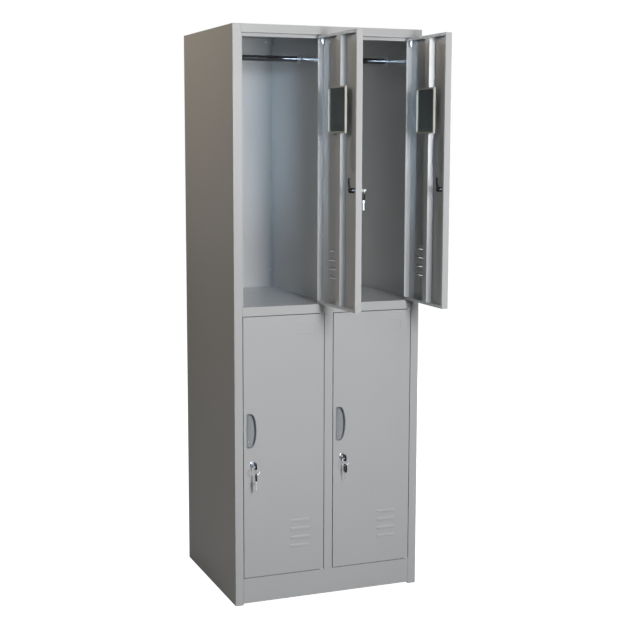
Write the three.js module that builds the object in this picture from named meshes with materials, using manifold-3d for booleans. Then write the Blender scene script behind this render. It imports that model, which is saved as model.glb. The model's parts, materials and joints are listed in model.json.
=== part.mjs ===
// Four-door steel locker cabinet, in millimetres, +Z up.
// The origin is on the floor, at the middle of the back panel's floor flange. The doors face -Y.
// At rest the two upper doors stand open and the two lower doors are closed.

import * as THREE from 'three';
import { mergeVertices } from 'three/addons/utils/BufferGeometryUtils.js';
import Module from 'manifold-3d';

const wasm = await Module();
wasm.setup();

// ---------------------------------------------------------------- driving dimensions

const HEIGHT = 1850;
const WIDTH = 642;
const DEPTH = 540;
const SHEET = 1;
const GAP = 0.3; // between pieces that touch
const SEAM = 0.6; // where the rails and shelves butt against the stiles and the mullion

const STILE_WIDTH = 27;
const MULLION_WIDTH = 28.5;
const FOLD_DEPTH = 21.5; // from the front face back to the stop flange
const STOP_FLANGE = 10.5;
const REAR_FLANGE = 16;
const FLOOR_FLANGE = 18;

const LOWER_OPENING = { bottom: 88.5, top: 944.5 };
const UPPER_OPENING = { bottom: 973.5, top: 1824 };
const PLINTH_CLEARANCE = 6;
const PLINTH_FOOT = 18;
const SHELF_REAR_FLANGE = 24;

const DOOR_GAP = 2.5;
const DOOR_THICKNESS = 20;
const DOOR_LIP = 9;
const PIVOT_INSET = 5; // from the hinge edge, and from the door's outer face
// Degrees from closed, at rest.
const REST_ANGLES = { upper_left: 93, upper_right: 90, lower_left: 0, lower_right: 0 };

const HINGE_PIN_RADIUS = 3;
const HINGE_HOLE_RADIUS = 3.5;
const HINGE_PIN_REACH = 4.5; // beyond the frame sheet it turns in
const HINGE_PLATE = { length: 22, depth: 16, thickness: 2 };

const STIFFENER = { fromHinge: 147, top: 28, foot: 40, standoff: 0.75 };
const LOUVRES = { count: 4, fromHinge: 82, length: 70, pitch: 28.3, first: 91 };
const LOUVRE_HOOD = { rise: 9, depth: 2.8, corner: 8, crown: 2 };
const CARD_HOLDER = { fromHinge: 63.5, width: 63, height: 33.5, drop: 50, rail: 2.5, proud: 1.5 };
const HANDLE = { fromFreeEdge: 9.4, width: 34, height: 112, drop: 369, depth: 16 };
const HANDLE_CUP = { rim: 1, wall: 1.2, undercut: 6, proud: 0.4, steep: 5, flatFloor: 10 };
// The corner is a radius. The shoulder and the bend are shares of the width, and the pull of half the height.
const HANDLE_CURVE = { corner: 4, shoulder: 0.45, bend: 0.78, pull: 0.5 };
const MIRROR = { width: 125, height: 142, drop: 235.5, depth: 7, floor: 1.2, glass: 2, border: 5 };

const LOCK = { fromHinge: 245, drop: 478, barrelRadius: 8, barrelEnd: 18, boreRadius: 5.8 };
const LOCK_FLANGE = { radius: 10, depth: 2.2 };
const LOCK_NUT = { radius: 11, thickness: 4 };
const PLUG = { radius: 5.4, proud: 3, slotDepth: 19 };
const CAM = { width: 14, thickness: 2, front: 20, step: 2.5, tip: 38, bendTop: 18, bendFoot: 10, heel: -8 };
const BLADE = { height: 7, thickness: 2, tip: 6 };
// The keys that stay in the locks: how far in front of the door's pivot line the ring's hole is, and
// how far the bow runs past that hole.
const LOCK_KEYS = {
  moulded: { height: 22, length: 21, thickness: 4, corner: 7, holeY: -38.5, hole: 3.5, fromEnd: 5.5 },
  metal: { height: 7, length: 19, thickness: 2, corner: 3, holeY: -25.5, hole: 2.2, fromEnd: 9.5 },
};
// The spare keys that hang from them: a flat bow, then a round tube or a flat blade.
const SPARE_KEYS = {
  tubular: { width: 12, height: 24, thickness: 4, corner: 5, hole: 2.2, fromTop: 3.8 },
  flat: { width: 22, height: 26, thickness: 4, corner: 7, hole: 2.6, fromTop: 4 },
};
const TUBE = { radius: 3.3, length: 22, collarRadius: 5.6, collarLength: 8 };
const FLAT_BLADE_LENGTH = 22;
const KEYS = {
  upper_left: { inLock: 'metal', spare: 'tubular', drop: 6 },
  lower_left: { inLock: 'moulded', spare: 'tubular', drop: 24 },
  lower_right: { inLock: 'moulded', spare: 'flat', drop: 21 },
};

const ROD = { radius: 9.5, wall: 1, drop: 60, fromFront: 267 };
const SOCKET = { flangeRadius: 14.5, flangeThickness: 2.2, cupRadius: 12, cupLength: 10 };

// ---------------------------------------------------------------- places worked out from them

const REAR = FLOOR_FLANGE / 2 + SHEET;
const FRONT = REAR - DEPTH;
const HALF = WIDTH / 2;
const STOP_Y = FRONT + FOLD_DEPTH;
const WALL_TOP = HEIGHT - SHEET - GAP;
const SIDE_FLANGE_Y = REAR - SHEET - GAP;
const INNER_FLANGE_Y = SIDE_FLANGE_Y - SHEET - GAP;
const STILE_INNER = HALF - STILE_WIDTH;
const MULLION_HALF = MULLION_WIDTH / 2;
const DOOR_WIDTH = STILE_INNER - MULLION_HALF - 2 * DOOR_GAP;
const PIVOT_Y = FRONT + PIVOT_INSET;
const HINGE_EDGE = PIVOT_INSET;
const FREE_EDGE = PIVOT_INSET - DOOR_WIDTH;
const OUTER_FACE = -PIVOT_INSET;
const INNER_FACE = OUTER_FACE + DOOR_THICKNESS;
const SKIN_BACK = OUTER_FACE + SHEET;

const COLUMNS = {
  left: { pivotX: -MULLION_HALF - DOOR_GAP - PIVOT_INSET, outerWall: -HALF + SHEET, innerWall: -SHEET / 2 },
  right: { pivotX: STILE_INNER - DOOR_GAP - PIVOT_INSET, outerWall: HALF - SHEET, innerWall: SHEET / 2 },
};
const OPENINGS = { upper: UPPER_OPENING, lower: LOWER_OPENING };

const ROUND_SEGMENTS = 16;
const CURVE_SEGMENTS = 5;
const BEYOND = 5; // how far a cutting tool runs past what it cuts

// ---------------------------------------------------------------- solids

function solidOf(geometry) {
  const bare = geometry.clone();
  bare.deleteAttribute('normal');
  bare.deleteAttribute('uv');
  const merged = mergeVertices(bare, 1e-4);
  const vertProperties = Float32Array.from(merged.attributes.position.array);
  const triVerts = Uint32Array.from(merged.index.array);
  return new wasm.Manifold(new wasm.Mesh({ numProp: 3, vertProperties, triVerts }));
}

function geometryOf(solid) {
  const mesh = solid.getMesh();
  const geometry = new THREE.BufferGeometry();
  geometry.setAttribute('position', new THREE.BufferAttribute(mesh.vertProperties, 3));
  geometry.setIndex(new THREE.BufferAttribute(mesh.triVerts, 1));
  const faceted = geometry.toNonIndexed();
  faceted.computeVertexNormals();
  return faceted;
}

function box([x0, x1], [y0, y1], [z0, z1]) {
  const geometry = new THREE.BoxGeometry(x1 - x0, y1 - y0, z1 - z0);
  geometry.translate((x0 + x1) / 2, (y0 + y1) / 2, (z0 + z1) / 2);
  return solidOf(geometry);
}

const X_AXIS = new THREE.Vector3(1, 0, 0);
const Y_AXIS = new THREE.Vector3(0, 1, 0);
const Z_AXIS = new THREE.Vector3(0, 0, 1);
const AXES = {
  x: new THREE.Matrix4().makeBasis(Y_AXIS, Z_AXIS, X_AXIS),
  y: new THREE.Matrix4().makeBasis(Z_AXIS, X_AXIS, Y_AXIS),
  z: new THREE.Matrix4(),
};

// The shape is drawn in (y, z) for axis x, in (z, x) for axis y and in (x, y) for axis z.
function prism(shape, axis, from, to, lift = 0) {
  const settings = { depth: to - from, bevelEnabled: false, curveSegments: CURVE_SEGMENTS };
  const geometry = new THREE.ExtrudeGeometry(shape, settings);
  geometry.translate(0, 0, from);
  geometry.applyMatrix4(AXES[axis]);
  geometry.translate(0, 0, lift);
  return solidOf(geometry);
}

// The section of a bent sheet whose outer surface follows the points, with its thickness to the left.
function foldedSheet(points, thickness = SHEET) {
  const corners = points.map(([u, v]) => new THREE.Vector2(u, v));
  const normals = corners.slice(1).map((corner, i) => {
    const along = corner.clone().sub(corners[i]).normalize();
    return new THREE.Vector2(-along.y, along.x);
  });
  const inner = corners.map((corner, i) => {
    const before = normals[Math.max(i - 1, 0)];
    const after = normals[Math.min(i, normals.length - 1)];
    const mitre = before.clone().add(after).multiplyScalar(thickness / (1 + before.dot(after)));
    return corner.clone().add(mitre);
  });
  return new THREE.Shape([...corners, ...inner.reverse()]);
}

function cylinder(axis, radius, [u, v], from, to) {
  const circle = new THREE.Shape();
  const step = (2 * Math.PI) / ROUND_SEGMENTS;
  circle.moveTo(u + radius, v);
  for (let i = 1; i < ROUND_SEGMENTS; i += 1) {
    circle.lineTo(u + radius * Math.cos(i * step), v + radius * Math.sin(i * step));
  }
  return prism(circle, axis, from, to);
}

// A closed profile of [radius, height] points turned about the Y axis.
function turned(profile) {
  const points = [...profile, profile[0]].map(([radius, height]) => new THREE.Vector2(radius, height));
  return solidOf(new THREE.LatheGeometry(points, ROUND_SEGMENTS));
}

// ---------------------------------------------------------------- materials

const MATERIALS = {
  paint: { color: 0xc4c5c3, roughness: 0.38, metalness: 0.1 },
  zinc: { color: 0xb9bcbf, roughness: 0.32, metalness: 0.9 },
  chrome: { color: 0x8c9095, roughness: 0.12, metalness: 1 },
  socket: { color: 0x9a9fa3, roughness: 0.3, metalness: 0.9 },
  cup: { color: 0xb4b6b7, roughness: 0.42, metalness: 0 },
  keyHead: { color: 0x141416, roughness: 0.45, metalness: 0 },
  keyMetal: { color: 0xd6d8d9, roughness: 0.25, metalness: 0.9 },
  cam: { color: 0x1c1d1f, roughness: 0.4, metalness: 0.7 },
  mirrorFrame: { color: 0xbdb9ad, roughness: 0.45, metalness: 0 },
  mirror: { color: 0x4e5a5c, roughness: 0.03, metalness: 1 },
};

function piece(name, solid, material) {
  const mesh = new THREE.Mesh(geometryOf(solid), new THREE.MeshStandardMaterial(MATERIALS[material]));
  mesh.name = name;
  return mesh;
}

// ---------------------------------------------------------------- carcass

function sidePanel() {
  const section = foldedSheet([
    [-HALF + REAR_FLANGE, SIDE_FLANGE_Y],
    [-HALF, SIDE_FLANGE_Y],
    [-HALF, FRONT],
    [-STILE_INNER, FRONT],
    [-STILE_INNER, STOP_Y],
    [-STILE_INNER + STOP_FLANGE, STOP_Y],
  ]);
  const wall = prism(section, 'z', 0, WALL_TOP);
  const foot = box([-HALF, -HALF + REAR_FLANGE], [STOP_Y + 2 * SHEET, INNER_FLANGE_Y], [0, SHEET]);
  return wall.add(foot);
}

// What a shelf or the base leaves free for the folded edge of a stile or of the mullion.
function frontFoldClearance(edge, flangeEdge, beyond) {
  const fold = [edge, beyond].sort((a, b) => a - b);
  const flange = [flangeEdge, beyond].sort((a, b) => a - b);
  const height = [-BEYOND, HEIGHT + BEYOND];
  const behindFold = box(fold, [FRONT - BEYOND, STOP_Y + GAP], height);
  return behindFold.add(box(flange, [STOP_Y - GAP, STOP_Y + SHEET + GAP], height));
}

function stileClearance(side) {
  const edge = STILE_INNER - SEAM;
  return frontFoldClearance(side * edge, side * (edge - STOP_FLANGE), side * (HALF + BEYOND));
}

function mullionClearance(side) {
  const edge = MULLION_HALF + SEAM;
  return frontFoldClearance(side * edge, side * (edge + STOP_FLANGE), 0);
}

function hingeHoles(column, [z0, z1]) {
  return cylinder('z', HINGE_HOLE_RADIUS, [COLUMNS[column].pivotX, PIVOT_Y], z0, z1);
}

function roofPanel() {
  const plate = box([-HALF, HALF], [FRONT, REAR], [HEIGHT - SHEET, HEIGHT]);
  const frontRail = foldedSheet([
    [FRONT, HEIGHT],
    [FRONT, UPPER_OPENING.top],
    [STOP_Y, UPPER_OPENING.top],
    [STOP_Y, UPPER_OPENING.top - STOP_FLANGE],
  ]);
  const railHalf = STILE_INNER - SEAM;
  const rearFlange = box(
    [-HALF + SHEET + GAP, HALF - SHEET - GAP],
    [INNER_FLANGE_Y - SHEET, INNER_FLANGE_Y],
    [UPPER_OPENING.top, HEIGHT],
  );
  const holeSpan = [UPPER_OPENING.top - BEYOND, UPPER_OPENING.top + BEYOND];
  return plate
    .add(prism(frontRail, 'x', -railHalf, railHalf))
    .add(rearFlange)
    .subtract(stileClearance(-1).intersect(box([-HALF, 0], [FRONT, REAR], [0, WALL_TOP])))
    .subtract(stileClearance(1).intersect(box([0, HALF], [FRONT, REAR], [0, WALL_TOP])))
    .subtract(hingeHoles('left', holeSpan))
    .subtract(hingeHoles('right', holeSpan));
}

function backPanel() {
  const sheet = box([-HALF, HALF], [REAR - SHEET, REAR], [0, WALL_TOP]);
  const flangeHalf = HALF - REAR_FLANGE - GAP;
  return sheet.add(box([-flangeHalf, flangeHalf], [REAR - SHEET - FLOOR_FLANGE, REAR], [0, SHEET]));
}

function centrePartition() {
  const bottom = LOWER_OPENING.bottom + GAP;
  const mullion = foldedSheet([
    [-MULLION_HALF - STOP_FLANGE, STOP_Y],
    [-MULLION_HALF, STOP_Y],
    [-MULLION_HALF, FRONT],
    [MULLION_HALF, FRONT],
    [MULLION_HALF, STOP_Y],
    [MULLION_HALF + STOP_FLANGE, STOP_Y],
  ]);
  const wall = box([-SHEET / 2, SHEET / 2], [FRONT + SHEET / 2, SIDE_FLANGE_Y], [bottom, WALL_TOP]);
  const rearFlange = box(
    [-REAR_FLANGE - SHEET / 2, SHEET / 2],
    [SIDE_FLANGE_Y - SHEET, SIDE_FLANGE_Y],
    [bottom, WALL_TOP],
  );
  const across = [-HALF, HALF];
  const railBack = STOP_Y + SHEET + GAP;
  const above = [UPPER_OPENING.top - GAP, HEIGHT];
  return prism(mullion, 'z', bottom, UPPER_OPENING.top - GAP)
    .add(wall)
    .add(rearFlange)
    .subtract(box(across, [FRONT - BEYOND, railBack], above))
    .subtract(box(across, [STOP_Y - GAP, railBack], [UPPER_OPENING.top - STOP_FLANGE - GAP, HEIGHT]))
    .subtract(box(across, [INNER_FLANGE_Y - SHEET - GAP, INNER_FLANGE_Y + GAP], above));
}

function midShelf(column) {
  const side = column === 'left' ? -1 : 1;
  const section = foldedSheet([
    [INNER_FLANGE_Y, UPPER_OPENING.bottom - SHELF_REAR_FLANGE],
    [INNER_FLANGE_Y, UPPER_OPENING.bottom],
    [FRONT, UPPER_OPENING.bottom],
    [FRONT, LOWER_OPENING.top],
    [STOP_Y, LOWER_OPENING.top],
    [STOP_Y, LOWER_OPENING.top - STOP_FLANGE],
  ]);
  const ends = [COLUMNS[column].outerWall - side * GAP, COLUMNS[column].innerWall + side * GAP];
  const [from, to] = ends.sort((a, b) => a - b);
  return prism(section, 'x', from, to)
    .subtract(stileClearance(side))
    .subtract(mullionClearance(side))
    .subtract(hingeHoles(column, [LOWER_OPENING.top - BEYOND, UPPER_OPENING.bottom + BEYOND]));
}

function basePanel() {
  const section = foldedSheet([
    [INNER_FLANGE_Y, LOWER_OPENING.bottom - SHELF_REAR_FLANGE],
    [INNER_FLANGE_Y, LOWER_OPENING.bottom],
    [FRONT, LOWER_OPENING.bottom],
    [FRONT, PLINTH_CLEARANCE],
    [FRONT + PLINTH_FOOT, PLINTH_CLEARANCE],
  ]);
  const reach = HALF - SHEET - GAP;
  const holeSpan = [LOWER_OPENING.bottom - BEYOND, LOWER_OPENING.bottom + BEYOND];
  return prism(section, 'x', -reach, reach)
    .subtract(stileClearance(-1))
    .subtract(stileClearance(1))
    .subtract(hingeHoles('left', holeSpan))
    .subtract(hingeHoles('right', holeSpan));
}

function carcass() {
  const group = new THREE.Group();
  const right = piece('right_side_panel', sidePanel(), 'paint');
  right.scale.x = -1;
  group.add(
    piece('left_side_panel', sidePanel(), 'paint'),
    right,
    piece('back_panel', backPanel(), 'paint'),
    piece('roof_panel', roofPanel(), 'paint'),
    piece('centre_partition', centrePartition(), 'paint'),
    piece('left_mid_shelf', midShelf('left'), 'paint'),
    piece('right_mid_shelf', midShelf('right'), 'paint'),
    piece('base_panel', basePanel(), 'paint'),
  );
  return group;
}

// ---------------------------------------------------------------- hanging rods

function rodSocket() {
  return turned([
    [0, 0],
    [SOCKET.flangeRadius, 0],
    [SOCKET.flangeRadius, SOCKET.flangeThickness],
    [SOCKET.cupRadius, SOCKET.flangeThickness],
    [SOCKET.cupRadius, SOCKET.cupLength],
    [ROD.radius + GAP, SOCKET.cupLength],
    [ROD.radius + GAP, SOCKET.flangeThickness],
    [0, SOCKET.flangeThickness],
  ]);
}

function rodTube(length) {
  const bore = ROD.radius - ROD.wall;
  return turned([
    [bore, -length / 2],
    [ROD.radius, -length / 2],
    [ROD.radius, length / 2],
    [bore, length / 2],
  ]);
}

function hangingRod(prefix, column, opening) {
  const group = new THREE.Group();
  const { outerWall, innerWall } = COLUMNS[column];
  const quarterTurn = Math.PI / 2;
  const middle = (outerWall + innerWall) / 2;
  const span = Math.abs(outerWall - innerWall) - 2 * GAP;
  const rod = piece(`${prefix}_coat_rod`, rodTube(span - 2 * (SOCKET.flangeThickness + GAP)), 'chrome');
  rod.rotation.z = quarterTurn;
  const outer = piece(`${prefix}_outer_rod_socket`, rodSocket(), 'socket');
  const inner = piece(`${prefix}_inner_rod_socket`, rodSocket(), 'socket');
  const towardsInner = Math.sign(innerWall - outerWall);
  outer.position.x = (-towardsInner * span) / 2;
  outer.rotation.z = -towardsInner * quarterTurn;
  inner.position.x = (towardsInner * span) / 2;
  inner.rotation.z = towardsInner * quarterTurn;
  group.add(rod, outer, inner);
  group.position.set(middle, FRONT + ROD.fromFront, opening.top - ROD.drop);
  return group;
}

// ---------------------------------------------------------------- doors
// A door is drawn closed, from its pivot: x runs towards the hinge edge, y into the cabinet, z up
// from the door's bottom edge.

// The handle's outline in (z, x), about its own height: straight on the free-edge side and bulging
// towards the hinge, where it can reach further.
function handleOutline(grow, centre = 0, reach = 0) {
  const flat = FREE_EDGE + HANDLE.fromFreeEdge - grow;
  const bulge = FREE_EDGE + HANDLE.fromFreeEdge + HANDLE.width + grow + reach;
  const half = HANDLE.height / 2 + grow;
  const corner = HANDLE_CURVE.corner + Math.max(grow, 0);
  const shoulder = flat + HANDLE_CURVE.shoulder * (bulge - flat);
  const bend = flat + HANDLE_CURVE.bend * (bulge - flat);
  const pull = HANDLE_CURVE.pull * half;
  const low = centre - half;
  const high = centre + half;
  const shape = new THREE.Shape();
  shape.moveTo(low, flat + corner);
  shape.lineTo(low, shoulder);
  shape.bezierCurveTo(low, bend, centre - pull, bulge, centre, bulge);
  shape.bezierCurveTo(centre + pull, bulge, high, bend, high, shoulder);
  shape.lineTo(high, flat + corner);
  shape.quadraticCurveTo(high, flat, high - corner, flat);
  shape.lineTo(low + corner, flat);
  shape.quadraticCurveTo(low, flat, low, flat + corner);
  return shape;
}

// A louvre's outline in (z, x), flat below and with round upper corners.
function louvreOutline(middle, half, lower, upper) {
  const corner = LOUVRE_HOOD.corner;
  const shape = new THREE.Shape();
  shape.moveTo(lower, middle - half);
  shape.lineTo(upper - corner, middle - half);
  shape.quadraticCurveTo(upper, middle - half, upper, middle - half + corner);
  shape.lineTo(upper, middle + half - corner);
  shape.quadraticCurveTo(upper, middle + half, upper - corner, middle + half);
  shape.lineTo(lower, middle + half);
  return shape;
}

// The hood's section in (y, z), curving out of the skin and down to its lip.
function louvreSection(back, skin, tip, upper, lower) {
  const shape = new THREE.Shape();
  shape.moveTo(back, upper);
  shape.lineTo(skin, upper);
  shape.quadraticCurveTo(tip, upper - LOUVRE_HOOD.crown, tip, lower);
  shape.lineTo(back, lower);
  return shape;
}

// The hood curves out and down from the skin, and the slot under it opens downwards.
function louvre(height) {
  const middle = HINGE_EDGE - LOUVRES.fromHinge;
  const half = LOUVRES.length / 2;
  const tip = OUTER_FACE - LOUVRE_HOOD.depth;
  const lower = height - LOUVRE_HOOD.rise / 2;
  const upper = height + LOUVRE_HOOD.rise / 2;
  const slope = louvreSection(SKIN_BACK, OUTER_FACE, tip, upper, lower);
  const innerSlope = louvreSection(SKIN_BACK + BEYOND, OUTER_FACE, tip + SHEET, upper - SHEET, lower - SHEET);
  const across = [middle - half, middle + half];
  const outline = louvreOutline(middle, half, lower, upper);
  const innerOutline = louvreOutline(middle, half - SHEET, lower - SHEET, upper - SHEET);
  const hood = prism(slope, 'x', ...across).intersect(prism(outline, 'y', tip - SHEET, SKIN_BACK));
  const inside = prism(innerSlope, 'x', ...across)
    .intersect(prism(innerOutline, 'y', tip - SHEET, SKIN_BACK + BEYOND));
  const belowHood = box(across, [tip - SHEET, OUTER_FACE], [lower - 2 * SHEET, lower]);
  return { hood, slot: inside.subtract(belowHood) };
}

function cardHolder(doorHeight) {
  const middle = HINGE_EDGE - CARD_HOLDER.fromHinge;
  const across = [middle - CARD_HOLDER.width / 2, middle + CARD_HOLDER.width / 2];
  const centre = doorHeight - CARD_HOLDER.drop + DOOR_GAP;
  const up = [centre - CARD_HOLDER.height / 2, centre + CARD_HOLDER.height / 2];
  const through = [OUTER_FACE - CARD_HOLDER.proud, SKIN_BACK];
  const rail = CARD_HOLDER.rail;
  return box(across, through, [up[1] - rail, up[1]])
    .add(box(across, through, [up[0], up[0] + rail]))
    .add(box([across[1] - rail, across[1]], through, up));
}

function doorPanel(doorHeight) {
  const full = box([FREE_EDGE, HINGE_EDGE], [OUTER_FACE, INNER_FACE], [0, doorHeight]);
  const hollow = box(
    [FREE_EDGE + SHEET, HINGE_EDGE - SHEET],
    [SKIN_BACK, INNER_FACE + BEYOND],
    [SHEET, doorHeight - SHEET],
  );
  const lipDepth = [INNER_FACE - SHEET, INNER_FACE];
  const lips = box([FREE_EDGE, HINGE_EDGE], lipDepth, [0, DOOR_LIP])
    .add(box([FREE_EDGE, HINGE_EDGE], lipDepth, [doorHeight - DOOR_LIP, doorHeight]))
    .add(box([FREE_EDGE, FREE_EDGE + DOOR_LIP], lipDepth, [0, doorHeight]));
  const throughSkin = [OUTER_FACE - BEYOND, SKIN_BACK + BEYOND];
  const handleZ = doorHeight + DOOR_GAP - HANDLE.drop;
  const lockCentre = [doorHeight + DOOR_GAP - LOCK.drop, HINGE_EDGE - LOCK.fromHinge];
  let door = full
    .subtract(hollow)
    .add(lips)
    .add(cardHolder(doorHeight))
    .subtract(prism(handleOutline(GAP, handleZ), 'y', ...throughSkin))
    .subtract(cylinder('y', LOCK.barrelRadius + GAP, lockCentre, ...throughSkin))
    .subtract(cylinder('z', HINGE_HOLE_RADIUS, [0, 0], -BEYOND, doorHeight + BEYOND));
  for (let i = 0; i < LOUVRES.count; i += 1) {
    const { hood, slot } = louvre(LOUVRES.first + i * LOUVRES.pitch);
    door = door.add(hood).subtract(slot);
  }
  return door;
}

function stiffener(doorHeight) {
  const middle = HINGE_EDGE - STIFFENER.fromHinge;
  const foot = SKIN_BACK + STIFFENER.standoff;
  const top = INNER_FACE - SHEET - GAP;
  const section = foldedSheet([
    [middle + STIFFENER.foot / 2, foot],
    [middle + STIFFENER.top / 2, top],
    [middle - STIFFENER.top / 2, top],
    [middle - STIFFENER.foot / 2, foot],
  ]);
  return prism(section, 'z', SHEET + GAP, doorHeight - SHEET - GAP);
}

// The cup's mouth is the outline, its floor curves down from the free-edge side, and the curved side
// is undercut behind the door's skin to take the finger tips.
function handleCup() {
  const { rim, wall, undercut } = HANDLE_CUP;
  const flat = FREE_EDGE + HANDLE.fromFreeEdge;
  const bulge = flat + HANDLE.width;
  const front = OUTER_FACE - GAP - HANDLE_CUP.proud;
  const shoulder = SKIN_BACK + GAP;
  const back = OUTER_FACE + HANDLE.depth;
  const neck = prism(handleOutline(0), 'y', front, shoulder + wall);
  const flange = prism(handleOutline(rim), 'y', front, OUTER_FACE - GAP);
  const body = prism(handleOutline(0, 0, undercut), 'y', shoulder, back);
  const aboveFloor = new THREE.Shape();
  aboveFloor.moveTo(flat - BEYOND, OUTER_FACE - BEYOND);
  aboveFloor.lineTo(bulge + undercut + BEYOND, OUTER_FACE - BEYOND);
  aboveFloor.lineTo(bulge + undercut + BEYOND, back - wall);
  aboveFloor.lineTo(bulge - HANDLE_CUP.flatFloor, back - wall);
  aboveFloor.quadraticCurveTo(flat + HANDLE_CUP.steep, back - wall, flat + wall, OUTER_FACE + wall);
  aboveFloor.lineTo(flat - BEYOND, OUTER_FACE + wall);
  const half = HANDLE.height / 2 + BEYOND;
  const mouth = prism(handleOutline(-wall), 'y', OUTER_FACE - BEYOND, shoulder + 2 * wall);
  const pocket = prism(handleOutline(-wall, 0, undercut), 'y', shoulder + wall, back);
  const recess = mouth.add(pocket).intersect(prism(aboveFloor, 'z', -half, half));
  return neck.add(flange).add(body).subtract(recess);
}

function lockHousing() {
  const flangeBack = OUTER_FACE - GAP;
  const flangeFront = flangeBack - LOCK_FLANGE.depth;
  const nutFront = SKIN_BACK + GAP;
  const nutBack = nutFront + LOCK_NUT.thickness;
  return turned([
    [LOCK.boreRadius, flangeFront],
    [LOCK_FLANGE.radius, flangeFront],
    [LOCK_FLANGE.radius, flangeBack],
    [LOCK.barrelRadius, flangeBack],
    [LOCK.barrelRadius, nutFront],
    [LOCK_NUT.radius, nutFront],
    [LOCK_NUT.radius, nutBack],
    [LOCK.barrelRadius, nutBack],
    [LOCK.barrelRadius, LOCK.barrelEnd],
    [LOCK.boreRadius, LOCK.barrelEnd],
  ]);
}

// The plug with its key slot, and the stepped cam on its inner end, pointing up when unlocked.
function lockCam() {
  const plugFront = OUTER_FACE - PLUG.proud;
  const plugBack = CAM.front + CAM.thickness + SHEET;
  const camBack = CAM.front + CAM.step;
  const plug = turned([[0, plugFront], [PLUG.radius, plugFront], [PLUG.radius, plugBack], [0, plugBack]]);
  const bends = [
    [camBack, CAM.tip],
    [camBack, CAM.bendTop],
    [CAM.front, CAM.bendFoot],
    [CAM.front, CAM.heel],
  ];
  const bar = prism(foldedSheet(bends, CAM.thickness), 'x', -CAM.width / 2, CAM.width / 2);
  const slotHalf = [BLADE.thickness / 2 + GAP, BLADE.height / 2 + GAP];
  const slot = box(
    [-slotHalf[0], slotHalf[0]],
    [plugFront - BEYOND, plugFront + PLUG.slotDepth],
    [-slotHalf[1], slotHalf[1]],
  );
  return plug.add(bar).subtract(slot);
}

function roundedBow(u0, u1, halfWidth, radius) {
  const shape = new THREE.Shape();
  shape.moveTo(u0 + radius, -halfWidth);
  shape.lineTo(u1 - radius, -halfWidth);
  shape.quadraticCurveTo(u1, -halfWidth, u1, -halfWidth + radius);
  shape.lineTo(u1, halfWidth - radius);
  shape.quadraticCurveTo(u1, halfWidth, u1 - radius, halfWidth);
  shape.lineTo(u0 + radius, halfWidth);
  shape.quadraticCurveTo(u0, halfWidth, u0, halfWidth - radius);
  shape.lineTo(u0, -halfWidth + radius);
  shape.quadraticCurveTo(u0, -halfWidth, u0 + radius, -halfWidth);
  return shape;
}

function lockKey({ height, length, thickness, corner, holeY, hole, fromEnd }) {
  const bowEnd = holeY - fromEnd;
  const bowFront = bowEnd + length;
  const bow = prism(roundedBow(bowEnd, bowFront, height / 2, corner), 'x', -thickness / 2, thickness / 2);
  const blade = box(
    [-BLADE.thickness / 2, BLADE.thickness / 2],
    [bowFront - SHEET, BLADE.tip],
    [-BLADE.height / 2, BLADE.height / 2],
  );
  return bow.add(blade).subtract(cylinder('x', hole, [holeY, 0], -BEYOND, BEYOND));
}

function spareKey(kind, holeY, drop) {
  const { width, height, thickness, corner, hole, fromTop } = SPARE_KEYS[kind];
  const bottom = -drop - height;
  const outline = roundedBow(holeY - width / 2, holeY + width / 2, height / 2, corner);
  const bow = prism(outline, 'x', -thickness / 2, thickness / 2, -drop - height / 2)
    .subtract(cylinder('x', hole, [holeY, -drop - fromTop], -BEYOND, BEYOND));
  if (kind === 'tubular') {
    const collarEnd = bottom - TUBE.collarLength;
    return bow
      .add(cylinder('z', TUBE.collarRadius, [0, holeY], collarEnd, bottom + SHEET))
      .add(cylinder('z', TUBE.radius, [0, holeY], collarEnd - TUBE.length, collarEnd + SHEET));
  }
  return bow.add(box(
    [-BLADE.thickness / 2, BLADE.thickness / 2],
    [holeY - BLADE.height / 2, holeY + BLADE.height / 2],
    [bottom - FLAT_BLADE_LENGTH, bottom + SHEET],
  ));
}

// A plate under the door's end fold with the pin that turns in the frame; direction is 1 at the
// door's top and -1 at its bottom.
function hingePin(doorHeight, direction) {
  const edge = direction > 0 ? doorHeight : 0;
  const plateOuter = edge - direction * (SHEET + GAP);
  const plateInner = plateOuter - direction * HINGE_PLATE.thickness;
  const pinEnd = edge + direction * (DOOR_GAP + SHEET + HINGE_PIN_REACH);
  const cornerGap = PIVOT_INSET - SHEET - GAP;
  const ordered = (a, b) => [Math.min(a, b), Math.max(a, b)];
  const plate = box(
    [cornerGap - HINGE_PLATE.length, cornerGap],
    [-cornerGap, HINGE_PLATE.depth - cornerGap],
    ordered(plateOuter, plateInner),
  );
  return plate.add(cylinder('z', HINGE_PIN_RADIUS, [0, 0], ...ordered(plateInner, pinEnd)));
}

// The frame's rim stands well proud of the glass.
function mirrorFrame() {
  const back = INNER_FACE - SHEET;
  const half = [MIRROR.width / 2, MIRROR.height / 2];
  const recess = [half[0] - MIRROR.border, half[1] - MIRROR.border];
  const floor = back + MIRROR.floor;
  const front = back + MIRROR.depth;
  const plate = box([-half[0], half[0]], [back, front], [-half[1], half[1]]);
  return plate.subtract(box([-recess[0], recess[0]], [floor, front + BEYOND], [-recess[1], recess[1]]));
}

function mirrorGlass() {
  const back = INNER_FACE - SHEET + MIRROR.floor + GAP;
  const half = [MIRROR.width / 2 - MIRROR.border - GAP, MIRROR.height / 2 - MIRROR.border - GAP];
  return box([-half[0], half[0]], [back, back + MIRROR.glass], [-half[1], half[1]]);
}

function placed(mesh, x, z) {
  mesh.position.set(x, 0, z);
  return mesh;
}

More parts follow.
